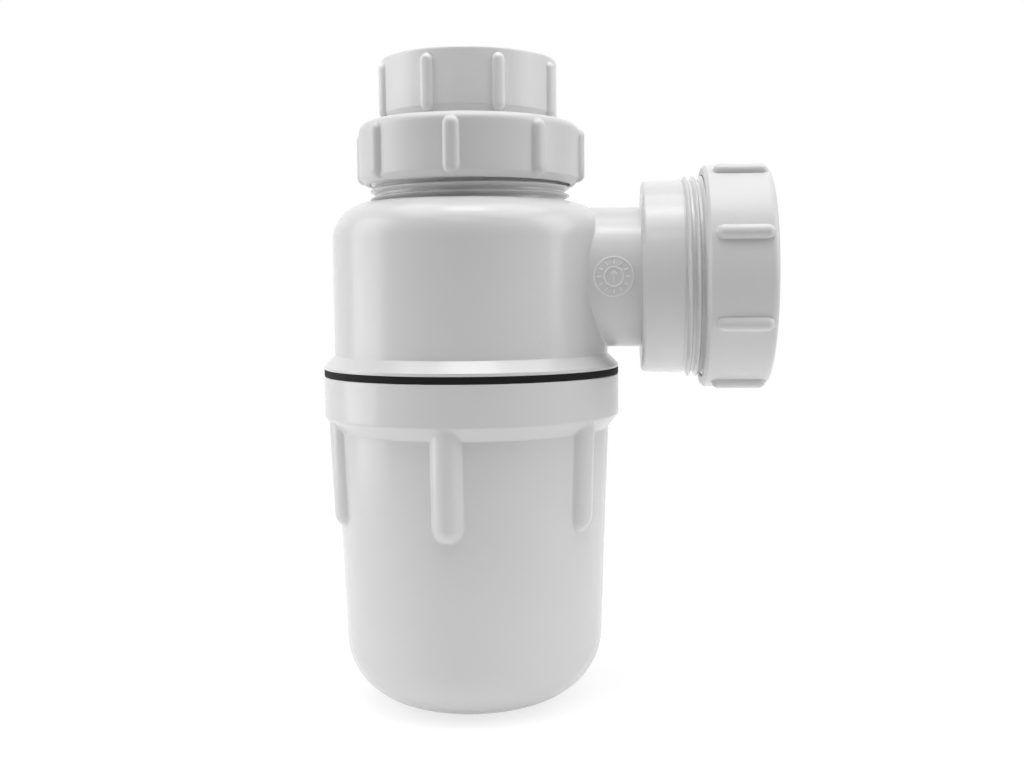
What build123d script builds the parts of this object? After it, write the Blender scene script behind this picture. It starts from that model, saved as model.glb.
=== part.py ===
"""Bottle trap for a 40 mm waste: body with a side outlet, screw-off cup, telescopic inlet.

Millimetres, +Z up. The origin is the centre of the cup's flat base, and the outlet runs
along +X. Threaded walls are plain cylinders: a male one at its root, a female one just
over the thread's major radius.
"""

from build123d import *
import math
import os

# Standard sizes of what the trap joins
PIPE_R = 21.5
TAIL_THREAD_R = 23.9
GLAND_THREAD_R = 29.8
THREAD_DEPTH = 1.48
THREAD_CLEARANCE = 0.1
SEAL_DEPTH = 75.0

# Cup
CUP_HEIGHT = 98.3
CUP_WALL = 2.5
CUP_WALL_PROUD = 0.1
CUP_DRAFT = 2.0
CUP_CORNER_R = 20.0
BAND_HEIGHT = 11.9
BAND_WALL = 2.55
BAND_CHAMFER = 4.0
BAND_EDGE_R = 0.4
CUP_RIBS = 6
CUP_RIB_R = 4.8
CUP_RIB_FOOT = 53.9
CUP_RIB_TURN = 26.4
CUP_RIB_BLEND = 0.8
CUP_RIB_INSET = 0.1
CUP_THREAD_DEPTH = 1.2
CUP_THREAD_CLEARANCE = 0.25

# Ring between the cup and the body
CUP_SEAL_HEIGHT = 2.0

# Body
BODY_R = 41.1
BODY_WALL = 2.8
BODY_HEIGHT = 49.1
FLANGE_RIM = 0.9
SKIRT_LENGTH = 12.8
SKIRT_WALL = 2.0
SKIRT_FLOOR_GAP = 0.8
SHOULDER_LAND = 0.1

# Outlet arm
STUB_R = 20.8
STUB_WALL = 2.3
STUB_SHOWN = 10.0
STUB_BELOW_TOP = 1.5
STUB_BLEND = 0.5
SOCKET_PLAIN = 11.9
SOCKET_WALL = 2.5
SOCKET_EDGE_R = 1.3
OUTLET_THREAD_SHOWN = 5.9

# Glands: the neck, seal, slip washer and nut at the inlet and again at the outlet
NECK_WALL = 2.3
MOUTH_CHAMFER = 0.8
INLET_THREAD_SHOWN = 5.3
GLAND_SEAL_LIP = 2.4
GLAND_SEAL_NOSE = 8.0
GLAND_SEAL_TAPER = 1.6
GLAND_SEAL_CLEARANCE = 0.25
SLIP_WASHER = 1.2
GLAND_NUT_LIP = 3.0
GLAND_NUT_WALL = 2.95
RING_IN_THREAD = 0.25

# Inlet tube and its coupling
TUBE_FLANGE_STEP = 2.17
TUBE_WALL = 2.2
TUBE_SLIDING = 0.1
TUBE_CLEARANCE = 0.5
TUBE_FLANGE = 2.5
COUPLING_WASHER = 3.0
COUPLING_HEIGHT = 18.6
COUPLING_LIP = 3.0
COUPLING_WALL = 2.1
COUPLING_RELIEF = 0.3
COUPLING_EDGE_R = 0.9
COUPLING_BEVEL = 1.6

# Levels and reaches that follow from the sizes above
FLANGE_Z = CUP_HEIGHT + CUP_SEAL_HEIGHT
BODY_TOP = FLANGE_Z + BODY_HEIGHT
SKIRT_R = BODY_R - BODY_WALL + SKIRT_WALL
SKIRT_FOOT = FLANGE_Z - SKIRT_LENGTH
CUP_THREAD_R = SKIRT_R + CUP_THREAD_DEPTH
CUP_MOUTH_R = CUP_THREAD_R + CUP_THREAD_CLEARANCE
FLANGE_R = CUP_MOUTH_R + BAND_WALL
CUP_WALL_TOP_R = BODY_R + CUP_WALL_PROUD
BAND_FOOT = CUP_HEIGHT - BAND_HEIGHT
CUP_WALL_TOP = BAND_FOOT - BAND_CHAMFER
NECK_ROOT_R = GLAND_THREAD_R - THREAD_DEPTH
NECK_BORE_R = NECK_ROOT_R - NECK_WALL
RING_R = NECK_ROOT_R - RING_IN_THREAD
GLAND_STACK = GLAND_SEAL_LIP + SLIP_WASHER + GLAND_NUT_LIP
STUB_BORE_R = STUB_R - STUB_WALL
OUTLET_Z = BODY_TOP - STUB_BELOW_TOP - STUB_R
SOCKET_X = BODY_R + STUB_SHOWN
TUBE_FOOT = OUTLET_Z - STUB_BORE_R - SEAL_DEPTH
TUBE_FLANGE_R = TAIL_THREAD_R - THREAD_DEPTH - RING_IN_THREAD
TUBE_R = TUBE_FLANGE_R - TUBE_FLANGE_STEP

# Nuts, each as its length, ribs, first rib, rib width, rib height, edge rounding and bevel
INLET_NUT = dict(length=17.9, turn=42.8, rib_width=4.8, rib_proud=1.55, rib_from=0.7,
                 rib_to=15.7, edge_r=2.6, bevel=1.8)
OUTLET_NUT = dict(length=19.6, turn=24.0, rib_width=4.5, rib_proud=1.9, rib_from=2.4,
                  rib_to=18.1, edge_r=2.4, bevel=0.9)
COUPLING_NUT = dict(turn=25.0, rib_width=3.8, rib_proud=1.4, rib_from=0.2, rib_to=16.8)
NUT_RIBS = 8
RIB_ROUNDING = 0.85

INLET_MOUTH = BODY_TOP + INLET_THREAD_SHOWN + INLET_NUT["length"] - GLAND_STACK
OUTLET_THREAD_X = SOCKET_X + SOCKET_PLAIN
OUTLET_MOUTH = OUTLET_THREAD_X + OUTLET_THREAD_SHOWN + OUTLET_NUT["length"] - GLAND_STACK
COUPLING_FOOT = INLET_MOUTH + GLAND_STACK
TUBE_TOP = COUPLING_FOOT + COUPLING_LIP + TUBE_FLANGE
TAIL_SEAT = TUBE_TOP + COUPLING_WASHER


def turned(*corners):
    """Solid turned about Z from corners given as radius, height and, if round, rounding.

    Its seam is on the -X side, away from the arm.
    """
    outline = make_face(Polyline(*[corner[:2] for corner in corners], close=True))
    for r, z, *rounding in corners:
        if rounding:
            corner = outline.vertices().sort_by_distance((r, z, 0))[0]
            outline = fillet(corner, rounding[0])
    return Rot(0, 0, 180) * revolve(Plane.XZ * outline, Axis.Z)


def at_inlet(shape):
    return Pos(0, 0, INLET_MOUTH) * shape


def at_outlet(shape):
    return Pos(OUTLET_MOUTH, 0, OUTLET_Z) * Rot(0, 90, 0) * shape


def around(shape, count, first):
    """Copies of a shape evenly spaced about Z, the first one turned by a given angle."""
    return [Rot(0, 0, first + 360 / count * i) * shape for i in range(count)]


def grip_rib(nut_r, width, proud, foot, top):
    """Raised grip bar with round ends and a rounded crown, along Z on a nut's side."""
    buried = 1.0
    face = Plane((nut_r - buried, 0, (foot + top) / 2), x_dir=(0, 0, 1), z_dir=(1, 0, 0))
    bar = extrude(face * SlotOverall(top - foot, width), buried + proud)
    crown = bar.faces().sort_by(Axis.X)[-1]
    return fillet(crown.edges(), min(RIB_ROUNDING, 0.6 * proud))


def wall_radius(z):
    """Outer radius of the cup's drafted wall at a height."""
    return CUP_WALL_TOP_R - (CUP_WALL_TOP - z) * math.tan(math.radians(CUP_DRAFT))


def cup_rib():
    """Half-round rib that leans with the wall, from its round foot up into the band."""
    head = BAND_FOOT + BAND_CHAMFER / 4
    lean = math.tan(math.radians(CUP_DRAFT))
    head_x = FLANGE_R - CUP_RIB_R - CUP_RIB_INSET
    foot_z = CUP_RIB_FOOT + CUP_RIB_R
    foot_x = head_x - (head - foot_z) * lean
    spine = Plane((foot_x, 0, foot_z), z_dir=(head_x - foot_x, 0, head - foot_z))
    length = math.hypot(head_x - foot_x, head - foot_z)
    bar = extrude(spine * Circle(CUP_RIB_R), length)
    return bar + Pos(foot_x, 0, foot_z) * Sphere(CUP_RIB_R)


def bottle_cup():
    """Screw-off cup with a threaded band, grip ribs and a well-rounded bottom."""
    outside = turned(
        (0, 0),
        (wall_radius(0), 0, CUP_CORNER_R),
        (CUP_WALL_TOP_R, CUP_WALL_TOP),
        (FLANGE_R, BAND_FOOT, BAND_EDGE_R),
        (FLANGE_R, CUP_HEIGHT, BAND_EDGE_R),
        (0, CUP_HEIGHT),
    )
    pocket_floor = SKIRT_FOOT - SKIRT_FLOOR_GAP
    inner_top_r = CUP_WALL_TOP_R - CUP_WALL
    inside = turned(
        (0, CUP_WALL),
        (wall_radius(CUP_WALL) - CUP_WALL, CUP_WALL, CUP_CORNER_R - CUP_WALL),
        (inner_top_r, CUP_WALL_TOP),
        (CUP_MOUTH_R, pocket_floor),
        (CUP_MOUTH_R, CUP_HEIGHT + 1),
        (0, CUP_HEIGHT + 1),
    )
    ribbed = outside
    for rib in around(cup_rib(), CUP_RIBS, CUP_RIB_TURN):
        ribbed = ribbed + rib
    rib_roots = ribbed.edges().filter_by(GeomType.BSPLINE)
    return fillet(rib_roots, CUP_RIB_BLEND) - inside


def cup_seal():
    """Flat rubber ring nipped between the cup's band and the body's flange."""
    return turned(
        (CUP_MOUTH_R, CUP_HEIGHT),
        (FLANGE_R, CUP_HEIGHT),
        (FLANGE_R, FLANGE_Z),
        (CUP_MOUTH_R, FLANGE_Z),
    )


def body_barrel():
    """Outside of the body from its flange up: cylinder, round shoulder and threaded neck."""
    shoulder_r = BODY_R - GLAND_THREAD_R - SHOULDER_LAND
    return turned(
        (0, FLANGE_Z),
        (BODY_R, FLANGE_Z),
        (BODY_R, BODY_TOP, shoulder_r),
        (NECK_ROOT_R, BODY_TOP),
        (NECK_ROOT_R, INLET_MOUTH, MOUTH_CHAMFER),
        (0, INLET_MOUTH),
    )


def body_foot():
    """Skirt that screws into the cup, and the flange over the seal with its cone."""
    return turned(
        (0, SKIRT_FOOT),
        (SKIRT_R, SKIRT_FOOT),
        (SKIRT_R, FLANGE_Z),
        (FLANGE_R, FLANGE_Z),
        (FLANGE_R, FLANGE_Z + FLANGE_RIM),
        (BODY_R, FLANGE_Z + FLANGE_RIM + FLANGE_R - BODY_R),
        (0, FLANGE_Z + FLANGE_RIM + FLANGE_R - BODY_R),
    )


def body_cavity():
    """Space inside the body, with the guide hole for the tube and the neck's bore."""
    shoulder_r = BODY_R - GLAND_THREAD_R - SHOULDER_LAND
    guide_r = TUBE_R + TUBE_CLEARANCE
    return turned(
        (0, SKIRT_FOOT - 1),
        (BODY_R - BODY_WALL, SKIRT_FOOT - 1),
        (BODY_R - BODY_WALL, BODY_TOP - BODY_WALL, shoulder_r - BODY_WALL),
        (guide_r, BODY_TOP - BODY_WALL),
        (guide_r, BODY_TOP),
        (NECK_BORE_R, BODY_TOP),
        (NECK_BORE_R, INLET_MOUTH + 1),
        (0, INLET_MOUTH + 1),
    )


def arm_outside():
    """Stub and pipe socket of the outlet, along Z from the body's axis."""
    socket_r = NECK_BORE_R + SOCKET_WALL
    return turned(
        (0, 0),
        (STUB_R, 0),
        (STUB_R, SOCKET_X),
        (socket_r, SOCKET_X, SOCKET_EDGE_R),
        (socket_r, OUTLET_THREAD_X),
        (NECK_ROOT_R, OUTLET_THREAD_X),
        (NECK_ROOT_R, OUTLET_MOUTH, MOUTH_CHAMFER),
        (0, OUTLET_MOUTH),
    )


def arm_inside():
    """Waterway of the stub and the wider bore that takes the pipe."""
    return turned(
        (0, 0),
        (STUB_BORE_R, 0),
        (STUB_BORE_R, SOCKET_X + SOCKET_WALL),
        (NECK_BORE_R, SOCKET_X + SOCKET_WALL),
        (NECK_BORE_R, OUTLET_MOUTH + 1),
        (0, OUTLET_MOUTH + 1),
    )


def trap_body():
    """One moulding: barrel and arm joined with a small blend, then the foot, then hollowed."""
    lay = Pos(0, 0, OUTLET_Z) * Rot(0, 90, 0)
    solid = body_barrel() + lay * arm_outside()
    crossing = solid.edges().filter_by(GeomType.BSPLINE)
    solid = fillet(crossing, STUB_BLEND) + body_foot()
    return solid - body_cavity() - lay * arm_inside()


def gland_seal(bore_r):
    """Rubber ring in a gland's mouth: a lip on the mouth's edge and a tapered nose."""
    nose_r = NECK_BORE_R - GLAND_SEAL_CLEARANCE
    return turned(
        (bore_r, -GLAND_SEAL_NOSE),
        (nose_r - GLAND_SEAL_TAPER, -GLAND_SEAL_NOSE),
        (nose_r, 0),
        (RING_R, 0),
        (RING_R, GLAND_SEAL_LIP),
        (bore_r, GLAND_SEAL_LIP),
    )


def slip_washer(bore_r):
    """Stiff flat ring that lets the nut turn without dragging the seal."""
    return turned(
        (bore_r, GLAND_SEAL_LIP),
        (RING_R, GLAND_SEAL_LIP),
        (RING_R, GLAND_SEAL_LIP + SLIP_WASHER),
        (bore_r, GLAND_SEAL_LIP + SLIP_WASHER),
    )


def gland_nut(hole_r, length, turn, rib_width, rib_proud, rib_from, rib_to, edge_r, bevel):
    """Ribbed nut whose lip presses the slip washer, heights counted from the mouth."""
    bore_r = GLAND_THREAD_R + THREAD_CLEARANCE
    nut_r = bore_r + GLAND_NUT_WALL
    foot = GLAND_STACK - length
    nut = turned(
        (bore_r, foot),
        (nut_r - bevel, foot),
        (nut_r, foot + bevel),
        (nut_r, GLAND_STACK, edge_r),
        (hole_r, GLAND_STACK),
        (hole_r, GLAND_STACK - GLAND_NUT_LIP),
        (bore_r, GLAND_STACK - GLAND_NUT_LIP),
    )
    rib = grip_rib(nut_r, rib_width, rib_proud, foot + rib_from, foot + rib_to)
    for copy in around(rib, NUT_RIBS, turn):
        nut = nut + copy
    return nut


def inlet_tube():
    """Flanged tube that hangs in the coupling nut and dips below the outlet."""
    bore_r = TUBE_R - TUBE_WALL
    return turned(
        (bore_r, TUBE_FOOT),
        (TUBE_R, TUBE_FOOT),
        (TUBE_R, TUBE_TOP - TUBE_FLANGE),
        (TUBE_FLANGE_R, TUBE_TOP - TUBE_FLANGE),
        (TUBE_FLANGE_R, TUBE_TOP),
        (bore_r, TUBE_TOP),
    )


def coupling_washer():
    """Flat rubber washer on the tube's flange, under the waste's tail."""
    return turned(
        (TUBE_R - TUBE_WALL, TUBE_TOP),
        (TUBE_FLANGE_R, TUBE_TOP),
        (TUBE_FLANGE_R, TAIL_SEAT),
        (TUBE_R - TUBE_WALL, TAIL_SEAT),
    )


def coupling_nut(turn, rib_width, rib_proud, rib_from, rib_to):
    """Nut that draws the tube's flange up against the waste's threaded tail."""
    bore_r = TAIL_THREAD_R + THREAD_CLEARANCE
    nut_r = bore_r + COUPLING_WALL
    hole_r = TUBE_R + TUBE_CLEARANCE
    top = COUPLING_FOOT + COUPLING_HEIGHT
    nut = turned(
        (hole_r, COUPLING_FOOT),
        (nut_r - COUPLING_BEVEL, COUPLING_FOOT),
        (nut_r, COUPLING_FOOT + COUPLING_BEVEL),
        (nut_r, top, COUPLING_EDGE_R),
        (bore_r, top),
        (bore_r, TAIL_SEAT),
        (bore_r + COUPLING_RELIEF, TAIL_SEAT),
        (bore_r + COUPLING_RELIEF, COUPLING_FOOT + COUPLING_LIP),
        (hole_r, COUPLING_FOOT + COUPLING_LIP),
    )
    foot = COUPLING_FOOT + rib_from
    rib = grip_rib(nut_r, rib_width, rib_proud, foot, COUPLING_FOOT + rib_to)
    for copy in around(rib, NUT_RIBS, turn):
        nut = nut + copy
    return nut


PARTS = {
    "bottle_cup": bottle_cup(),
    "cup_seal": cup_seal(),
    "trap_body": trap_body(),
    "inlet_seal": at_inlet(gland_seal(TUBE_R + TUBE_SLIDING)),
    "inlet_slip_washer": at_inlet(slip_washer(TUBE_R + TUBE_CLEARANCE)),
    "inlet_nut": at_inlet(gland_nut(TUBE_R + TUBE_CLEARANCE, **INLET_NUT)),
    "inlet_tube": inlet_tube(),
    "coupling_washer": coupling_washer(),
    "coupling_nut": coupling_nut(**COUPLING_NUT),
    "outlet_seal": at_outlet(gland_seal(PIPE_R + GLAND_SEAL_CLEARANCE)),
    "outlet_slip_washer": at_outlet(slip_washer(PIPE_R + TUBE_CLEARANCE)),
    "outlet_nut": at_outlet(gland_nut(PIPE_R + TUBE_CLEARANCE, **OUTLET_NUT)),
}

os.makedirs("parts", exist_ok=True)
for name, shape in PARTS.items():
    export_step(shape, f"parts/{name}.step")
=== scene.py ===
"""Bottle trap: the looks of every piece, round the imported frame. Lengths are in millimetres."""

import math

import bmesh
import bpy
from mathutils import Matrix, Vector


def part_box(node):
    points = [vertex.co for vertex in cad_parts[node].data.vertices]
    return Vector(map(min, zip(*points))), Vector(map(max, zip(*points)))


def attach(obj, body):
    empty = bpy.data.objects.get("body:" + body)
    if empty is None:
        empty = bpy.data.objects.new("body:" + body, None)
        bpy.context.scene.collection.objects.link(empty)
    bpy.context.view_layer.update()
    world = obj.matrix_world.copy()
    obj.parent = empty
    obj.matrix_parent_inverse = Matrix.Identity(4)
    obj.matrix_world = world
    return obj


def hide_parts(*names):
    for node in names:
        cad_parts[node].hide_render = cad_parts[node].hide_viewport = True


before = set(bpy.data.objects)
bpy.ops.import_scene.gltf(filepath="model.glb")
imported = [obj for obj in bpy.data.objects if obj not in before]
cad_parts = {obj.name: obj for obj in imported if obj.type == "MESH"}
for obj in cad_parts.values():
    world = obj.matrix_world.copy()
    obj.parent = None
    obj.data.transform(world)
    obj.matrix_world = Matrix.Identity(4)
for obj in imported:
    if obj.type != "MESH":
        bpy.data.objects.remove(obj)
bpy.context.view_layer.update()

MM = 0.001
TURN = 2 * math.pi


def reach(node, axis):
    """Lowest and highest coordinate of a CAD node along an axis, in millimetres."""
    low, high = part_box(node)
    return low[axis] / MM, high[axis] / MM


# Levels and reaches that the frame gives
FLANGE_Z = reach("cup_seal", 2)[1]
CUP_TOP = reach("bottle_cup", 2)[1]
SKIRT_FOOT, NECK_TOP = reach("trap_body", 2)
FLANGE_R = reach("cup_seal", 0)[1]
OUTLET_Z = sum(reach("outlet_nut", 2)) / 2
OUTLET_MOUTH = reach("trap_body", 0)[1]
INLET_NUT_FOOT, INLET_NUT_TOP = reach("inlet_nut", 2)
OUTLET_NUT_FOOT, OUTLET_NUT_TOP = (x - OUTLET_MOUTH for x in reach("outlet_nut", 0))
COUPLING_FOOT, COUPLING_TOP = reach("coupling_nut", 2)
TUBE_FOOT, TUBE_TOP = reach("inlet_tube", 2)
TAIL_SEAT = reach("coupling_washer", 2)[1]
TUBE_FLANGE_R = reach("inlet_tube", 0)[1]
RING_R = reach("inlet_seal", 0)[1]

# Sizes of the body and its arm
BODY_R = 41.1
BODY_WALL = 2.8
SHOULDER_R = 11.2
FLANGE_RIM = 0.9
SKIRT_R = 40.3
NECK_SHOWN = 5.3
BODY_TOP = INLET_NUT_FOOT - NECK_SHOWN
NECK_ROOT_R = 28.32
NECK_BORE_R = 26.02
GUIDE_R = 20.5
STUB_R = 20.8
STUB_BORE_R = 18.5
STUB_BLEND = 0.5
SOCKET_X = 51.1
SOCKET_R = 28.52
SOCKET_DRAFT = 0.2
SOCKET_WALL = 2.5
SOCKET_EDGE_R = 1.3
OUTLET_THREAD_X = 63.0
MOUTH_EDGE = 0.8

# Sizes of the cup
CUP_WALL = 2.5
CUP_WALL_TOP_R = 41.2
CUP_DRAFT = math.radians(2.0)
CUP_CORNER_R = 20.0
CUP_MOUTH_R = 41.75
CUP_LEDGE = SKIRT_FOOT - 0.8
BAND_HEIGHT = 11.9
BAND_CHAMFER = 4.0
BAND_FOOT = CUP_TOP - BAND_HEIGHT
CUP_WALL_TOP = BAND_FOOT - BAND_CHAMFER
CUP_RIBS = 6
CUP_RIB_HALF = 4.8
CUP_RIB_FOOT = 53.9

# Sizes of the nuts, tube and rings
NUT_RIBS = 8
GLAND_BORE_R = 29.9
GLAND_NUT_R = 32.85
GLAND_LIP = 3.0
INLET_HOLE_R = 20.5
OUTLET_HOLE_R = 22.0
COUPLING_BORE_R = 24.0
COUPLING_R = 26.1
COUPLING_RELIEF_R = 24.3
COUPLING_LIP = 3.0
COUPLING_RIB_HALF = 1.9
PIPE_R = 21.5
TUBE_R = 20.0
TUBE_BORE_R = 17.8
TUBE_FLANGE = 2.5
SEAL_NOSE = 8.0
SEAL_LIP = 2.4
SEAL_TAPER = 1.6
SLIP_WASHER = 1.2

# Threads: right-hand pipe threads on the glands and tail, a coarser one on the cup
PIPE_PITCH = 2.309
PIPE_DEPTH = 1.38
CUP_PITCH = 4.0
CUP_DEPTH = 1.15

# Share of a pitch by which each gland's thread is set on; its nut's is set half a pitch further
NECK_START = -0.3
OUTLET_START = -0.33

# Turn of the first rib of each ribbed piece, from +X
CUP_RIBS_FROM = math.radians(26.4)
INLET_RIBS_FROM = math.radians(42.8)
OUTLET_RIBS_FROM = math.radians(24.0)
COUPLING_RIBS_FROM = math.radians(25.0)

# Usual rounding of a moulded edge and of a ring's edge
SOFT_EDGE = 0.35
RING_EDGE = 0.3
# Hairline under the tail washer, on which the tube turns, so that their faces don't share a plane
SEATED = 0.02


def linear(hex_colour):
    """Linear RGBA of an sRGB hex colour."""
    channels = [int(hex_colour[i:i + 2], 16) / 255 for i in (1, 3, 5)]
    return [c / 12.92 if c <= 0.04045 else ((c + 0.055) / 1.055) ** 2.4 for c in channels] + [1.0]


def add(tree, kind, inputs=(), **settings):
    """Adds a node with its settings, and links or sets its inputs."""
    new = tree.nodes.new(kind)
    for name, value in settings.items():
        setattr(new, name, value)
    for key, value in dict(inputs).items():
        if isinstance(value, bpy.types.NodeSocket):
            tree.links.new(value, new.inputs[key])
        else:
            new.inputs[key].default_value = value
    return new


def empty_material(name):
    """Material with its node tree, a Principled surface and an output, ready for a pattern."""
    material = bpy.data.materials.new(name)
    material.use_nodes = True
    tree = material.node_tree
    tree.nodes.clear()
    surface = add(tree, "ShaderNodeBsdfPrincipled")
    add(tree, "ShaderNodeOutputMaterial", {"Surface": surface.outputs[0]})
    return material, tree, surface


def moulded_polypropylene(name, light, shade, roughness):
    """Injection-moulded white polypropylene: glossy, faintly uneven in tone and gloss, with
    the shallow orange peel that the steel mould leaves."""
    material, tree, surface = empty_material(name)
    place = add(tree, "ShaderNodeTexCoord").outputs["Object"]
    flow = add(tree, "ShaderNodeTexNoise", {"Vector": place, "Scale": 1 / (24 * MM), "Detail": 3.0})
    tone = add(tree, "ShaderNodeMix", {"Factor": flow.outputs["Fac"], "A": linear(shade),
                                       "B": linear(light)}, data_type="RGBA")
    tree.links.new(tone.outputs["Result"], surface.inputs["Base Color"])
    patch = add(tree, "ShaderNodeTexNoise", {"Vector": place, "Scale": 1 / (9 * MM), "Detail": 4.0})
    spread = 0.06
    gloss = add(tree, "ShaderNodeMapRange", {"Value": patch.outputs["Fac"],
                                             "To Min": roughness - spread,
                                             "To Max": roughness + spread})
    tree.links.new(gloss.outputs["Result"], surface.inputs["Roughness"])
    peel = add(tree, "ShaderNodeTexNoise",
               {"Vector": place, "Scale": 1 / (1.6 * MM), "Detail": 2.0})
    grain = add(tree, "ShaderNodeTexNoise",
                {"Vector": place, "Scale": 1 / (0.35 * MM), "Detail": 1.0})
    fine = add(tree, "ShaderNodeBump", {"Height": grain.outputs["Fac"], "Distance": 0.012 * MM})
    coarse = add(tree, "ShaderNodeBump", {"Height": peel.outputs["Fac"], "Distance": 0.04 * MM,
                                          "Normal": fine.outputs["Normal"]})
    tree.links.new(coarse.outputs["Normal"], surface.inputs["Normal"])
    surface.inputs["IOR"].default_value = 1.49
    return material


def moulded_rubber():
    """Black EPDM ring rubber: dull, with a fine tooth and a trace of pale bloom."""
    material, tree, surface = empty_material("epdm_rubber")
    place = add(tree, "ShaderNodeTexCoord").outputs["Object"]
    bloom = add(tree, "ShaderNodeTexNoise", {"Vector": place, "Scale": 1 / (5 * MM), "Detail": 4.0})
    tone = add(tree, "ShaderNodeMix", {"Factor": bloom.outputs["Fac"], "A": linear("#090909"),
                                       "B": linear("#131313")}, data_type="RGBA")
    tree.links.new(tone.outputs["Result"], surface.inputs["Base Color"])
    tooth = add(tree, "ShaderNodeTexNoise",
                {"Vector": place, "Scale": 1 / (0.4 * MM), "Detail": 2.0})
    bump = add(tree, "ShaderNodeBump", {"Height": tooth.outputs["Fac"], "Distance": 0.03 * MM})
    tree.links.new(bump.outputs["Normal"], surface.inputs["Normal"])
    surface.inputs["Roughness"].default_value = 0.7
    surface.inputs["IOR"].default_value = 1.45
    surface.inputs["Specular IOR Level"].default_value = 0.2
    return material


def stamped_polyethylene():
    """Natural polyethylene sheet of the slip washers: milky, waxy and duller than the mouldings."""
    material, tree, surface = empty_material("polyethylene_sheet")
    place = add(tree, "ShaderNodeTexCoord").outputs["Object"]
    cloud = add(tree, "ShaderNodeTexNoise", {"Vector": place, "Scale": 1 / (6 * MM), "Detail": 3.0})
    tone = add(tree, "ShaderNodeMix", {"Factor": cloud.outputs["Fac"], "A": linear("#CFCFC8"),
                                       "B": linear("#DCDCD6")}, data_type="RGBA")
    tree.links.new(tone.outputs["Result"], surface.inputs["Base Color"])
    wax = add(tree, "ShaderNodeTexNoise", {"Vector": place, "Scale": 1 / (0.8 * MM), "Detail": 2.0})
    bump = add(tree, "ShaderNodeBump", {"Height": wax.outputs["Fac"], "Distance": 0.02 * MM})
    tree.links.new(bump.outputs["Normal"], surface.inputs["Normal"])
    surface.inputs["Roughness"].default_value = 0.5
    surface.inputs["IOR"].default_value = 1.51
    return material


BODY_WHITE = moulded_polypropylene("polypropylene_body", "#E1E1E1", "#DBDBDB", 0.21)
NUT_WHITE = moulded_polypropylene("polypropylene_nuts", "#E0E0E0", "#D9D9D9", 0.36)
# The coupling nut is a shade whiter than the gland nuts: painted light, a lit copy of the nut white
# that makes it brighter than the lamps alone do
COUPLING_PAINTED_LIGHT = moulded_polypropylene("polypropylene_coupling_painted_light", "#F0F0F0", "#EAEAEA", 0.36)
TUBE_WHITE = moulded_polypropylene("polypropylene_tube", "#DFDFDF", "#D8D8D8", 0.21)
# The date wheel is an engraved insert in the mould: its lines are satin, and their colour, whiter
# than the wall, is a painted highlight where the raised lines catch the light
RELIEF_PAINTED_HIGHLIGHT = moulded_polypropylene("polypropylene_relief_painted_highlight", "#F4F4F4", "#EFEFEF", 0.46)
RUBBER = moulded_rubber()
WASHER_WHITE = stamped_polyethylene()


def bend(before, corner, after, radius, steps=6):
    """Points of the arc that rounds a corner of an outline."""
    a, b, c = Vector(before), Vector(corner), Vector(after)
    to_a, to_c = (a - b).normalized(), (c - b).normalized()
    half = to_a.angle(to_c) / 2
    centre = b + (to_a + to_c).normalized() * radius / math.sin(half)
    start = b + to_a * radius / math.tan(half) - centre
    end = b + to_c * radius / math.tan(half) - centre
    sweep = start.angle(end)
    points = []
    for step in range(steps + 1):
        part = step / steps
        turn = start * math.sin((1 - part) * sweep) + end * math.sin(part * sweep)
        points.append(tuple(centre + turn / math.sin(sweep)))
    return points


def outline(*corners):
    """Points of a closed outline from corners given as radius, height, rounding and arc steps."""
    points = []
    for i, (r, z, *rounding) in enumerate(corners):
        if rounding and rounding[0]:
            before, after = corners[i - 1][:2], corners[(i + 1) % len(corners)][:2]
            points += bend(before, (r, z), after, *rounding)
        else:
            points.append((r, z))
    return points


def closely(points, step):
    """The same line with no stretch longer than a step."""
    dense = [points[0]]
    for (r0, z0), (r1, z1) in zip(points, points[1:]):
        parts = max(1, math.ceil(math.hypot(r1 - r0, z1 - z0) / step))
        dense += [(r0 + (r1 - r0) * i / parts, z0 + (z1 - z0) * i / parts)
                  for i in range(1, parts + 1)]
    return dense


def even_columns(count):
    """Angles of evenly spaced columns round a turned piece."""
    return [TURN * i / count for i in range(count)]


def ribbed_columns(count, first, half_width, radius):
    """Angles round a ribbed wall, close together at each rib's sides and wide between ribs."""
    shares_of_rib = (0.0, 0.2, 0.4, 0.52, 0.62, 0.7, 0.77, 0.83, 0.88, 0.93, 0.97, 1.01, 1.06, 1.13,
                     1.24, 1.42)
    widest = 1.6
    half_space = TURN * radius / count / 2
    offsets = [share * half_width for share in shares_of_rib]
    plain = math.ceil((half_space - offsets[-1]) / widest)
    offsets += [offsets[-1] + (half_space - offsets[-1]) * (i + 1) / plain for i in range(plain)]
    one_rib = [-offset for offset in reversed(offsets[1:-1])] + offsets
    return [first + TURN * k / count + offset / radius for k in range(count) for offset in one_rib]


def turned(name, outside, inside, columns, closed=True):
    """Mesh turned about Z from two runs of (radius, height); the outside one is marked for ribs."""
    points = outside + inside
    vertices, rings, marks = [], [], []
    for index, (r, z) in enumerate(points):
        angles = columns if r > 1e-6 else [0.0]
        ring = range(len(vertices), len(vertices) + len(angles))
        vertices += [(r * math.cos(a) * MM, r * math.sin(a) * MM, z * MM) for a in angles]
        marks += [1.0 if index < len(outside) else 0.0] * len(angles)
        rings.append(ring)
    faces = []
    pairs = list(zip(rings, rings[1:])) + ([(rings[-1], rings[0])] if closed else [])
    for lower, upper in pairs:
        wide = max(len(lower), len(upper))
        for i in range(wide):
            j = (i + 1) % wide
            corners = [lower[i % len(lower)], lower[j % len(lower)],
                       upper[j % len(upper)], upper[i % len(upper)]]
            faces.append(tuple(dict.fromkeys(corners)))
    mesh = bpy.data.meshes.new(name)
    mesh.from_pydata(vertices, [], [face for face in faces if len(face) > 2])
    mesh.attributes.new("ribbed", "FLOAT", "POINT").data.foreach_set("value", marks)
    return linked(name, mesh)


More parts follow.
